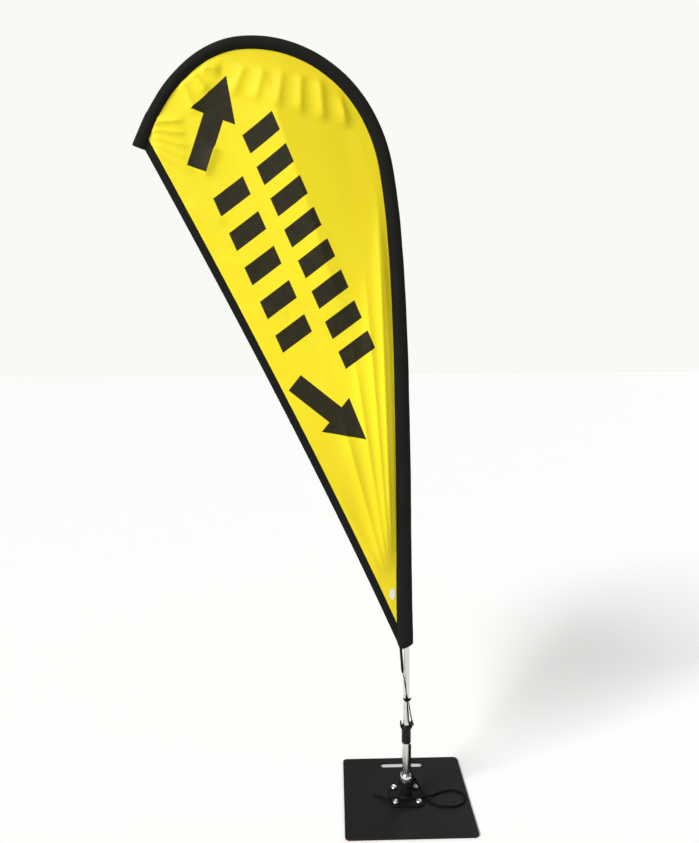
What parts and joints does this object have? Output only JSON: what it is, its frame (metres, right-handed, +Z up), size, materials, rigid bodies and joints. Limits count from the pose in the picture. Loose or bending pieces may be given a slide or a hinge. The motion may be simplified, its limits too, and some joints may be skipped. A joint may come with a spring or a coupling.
{
  "type": "teardrop flag",
  "caption": "Teardrop flag: a bent pole in a black sleeve carries a yellow panel and turns in a bearing post bolted to a flat steel foot plate.",
  "frame": {"origin": "on the socket's vertical axis, at the underside of the foot plate", "axes": "+Z up along the socket axis, the flag lies in the XZ plane and reaches towards -X, the carry slot is at +Y"},
  "size_m": [0.9921, 0.4, 2.3291],
  "materials": {
    "powder_black": "satin fine-textured powder coat",
    "post_black": "smooth semi-gloss paint",
    "chrome": "bright plated",
    "bearing_steel": "ground steel",
    "spacer_aluminium": "plain turned",
    "pole_aluminium": "anodised, softly bright",
    "pole_fibreglass": "resin-rich fibreglass",
    "black_plastic": "moulded, fine grain",
    "seal_rubber": "matt",
    "sleeve_fabric": "woven black polyester",
    "flag_fabric": "knitted yellow polyester with a soft sheen",
    "webbing": "woven black webbing",
    "cord": "braided black cord",
    "label": "plain pale label"
  },
  "bodies": {
    "foot": {"base_plate": "powder_black", "bearing_post": "post_black", "bearing_spacer": "spacer_aluminium", "bolt_washer_1": "post_black", "bolt_washer_2": "post_black", "bolt_washer_3": "post_black", "bolt_washer_4": "post_black", "dust_seal": "seal_rubber", "flange_bolt_1": "chrome", "flange_bolt_2": "chrome", "flange_bolt_3": "chrome", "flange_bolt_4": "chrome", "lower_bearing_balls": "bearing_steel", "lower_bearing_outer_race": "bearing_steel", "tether_cord": "cord", "tether_knot": "cord", "tether_tip": "black_plastic", "upper_bearing_balls": "bearing_steel", "upper_bearing_outer_race": "bearing_steel"},
    "spindle": {"spindle_shaft": "bearing_steel", "shaft_circlip": "bearing_steel", "lower_bearing_inner_race": "bearing_steel", "upper_bearing_inner_race": "bearing_steel", "socket_tube": "chrome", "socket_cap": "chrome"},
    "pole": {"hook_collar": "black_plastic", "pole_section_1": "pole_aluminium", "pole_section_2": "pole_aluminium", "pole_section_3": "pole_fibreglass", "pole_section_4": "pole_fibreglass", "pole_ferrule_1": "bearing_steel", "pole_ferrule_2": "bearing_steel", "pole_ferrule_3": "bearing_steel", "pole_tip_cap": "seal_rubber", "flag_sleeve": "sleeve_fabric", "tip_pocket": "sleeve_fabric", "flag_panel": "flag_fabric", "trailing_hem": "sleeve_fabric", "blank_label": "label", "tension_strap": "webbing", "tension_cord": "cord", "tension_knot": "cord", "elastic_loop": "cord"}
  },
  "joints": [
    {"name": "spindle_turn", "type": "hinge", "parent": "foot", "child": "spindle", "pos_m": [0, 0, 0.05], "axis": [0, 0, 1], "continuous": true},
    {"name": "pole_lift", "type": "slide", "parent": "spindle", "child": "pole", "axis": [0, 0, 1], "range_m": [0, 0.115]}
  ]
}
